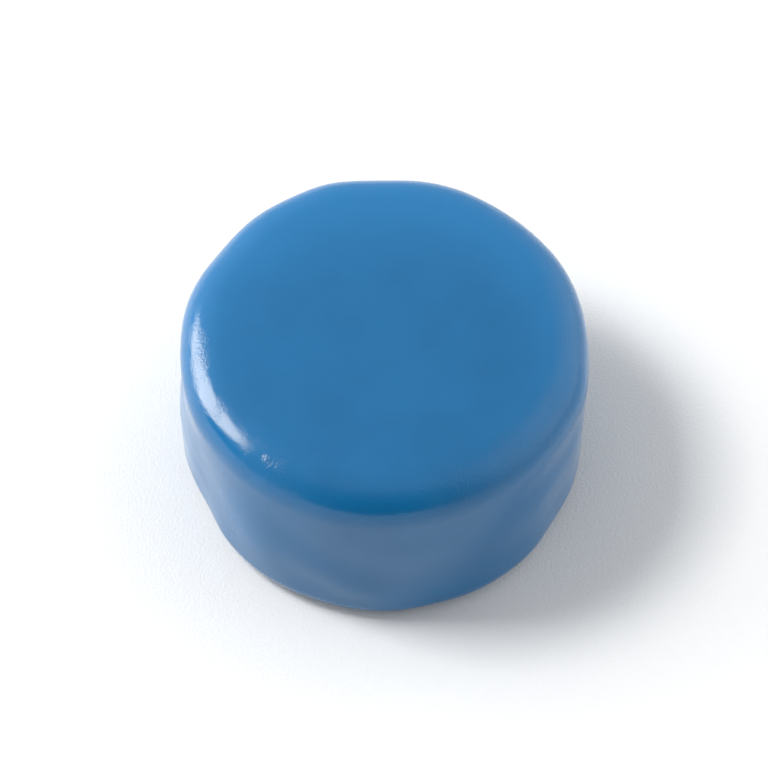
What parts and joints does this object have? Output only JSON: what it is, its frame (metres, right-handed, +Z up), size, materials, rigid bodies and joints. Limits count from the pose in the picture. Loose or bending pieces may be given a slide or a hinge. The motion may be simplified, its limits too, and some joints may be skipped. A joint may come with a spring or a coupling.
{
  "type": "wax-coated cheese truckle",
  "caption": "Short round drum of cheese in a glossy blue wax coat with rounded edges; the upper half of the coat lifts off and the cheese lifts out of the lower half.",
  "frame": {"origin": "centre of the flat foot, on the table", "axes": "+Z up along the drum's axis; -Y is the front, towards the viewer; +X to the viewer's right"},
  "size_m": [0.0813, 0.0802, 0.0445],
  "materials": {
    "cheese": "satin",
    "clear_wax": "satin",
    "blue_wax": "gloss"
  },
  "bodies": {
    "lower_coat": {"lower_first_coat": "clear_wax", "lower_wax_shell": "blue_wax"},
    "cheese": {"cheese": "cheese"},
    "upper_coat": {"upper_first_coat": "clear_wax", "upper_wax_shell": "blue_wax"}
  },
  "joints": [
    {"name": "cheese_lift", "type": "slide", "parent": "lower_coat", "child": "cheese", "axis": [0, 0, 1], "range_m": [0, 0.04]},
    {"name": "upper_coat_lift", "type": "slide", "parent": "cheese", "child": "upper_coat", "axis": [0, 0, 1], "range_m": [0, 0.04]}
  ]
}
